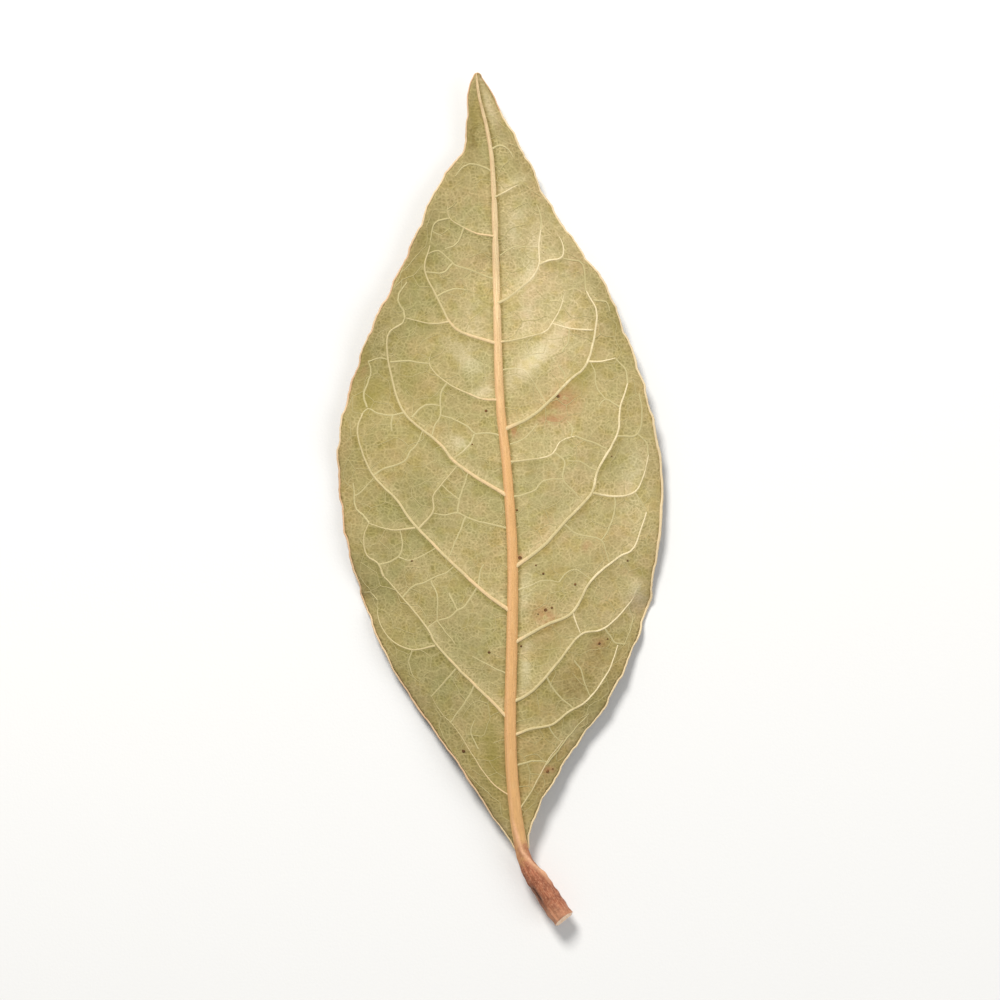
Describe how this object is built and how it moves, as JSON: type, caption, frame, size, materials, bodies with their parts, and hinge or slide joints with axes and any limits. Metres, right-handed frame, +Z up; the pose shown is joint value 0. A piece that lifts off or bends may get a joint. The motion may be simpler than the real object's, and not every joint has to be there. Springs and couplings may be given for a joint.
{
  "type": "dried bay leaf",
  "caption": "Whole dried bay leaf lying underside up, with a raised midrib, looped side veins joined by a net of cross veins, a finely waved margin and a short cut stalk.",
  "frame": {"origin": "on the surface the leaf lies on, under the middle of its bounding box", "axes": "+Y along the leaf towards its tip, +X across it towards the side its stalk bends to, +Z up, out of its underside"},
  "size_m": [0.031, 0.0806, 0.0044],
  "materials": {
    "blade": "matte",
    "blade_upper_face": "satin",
    "veins": "matte",
    "stalk": "matte"
  },
  "bodies": {
    "root": {"bay_leaf": "blade"}
  },
  "joints": []
}
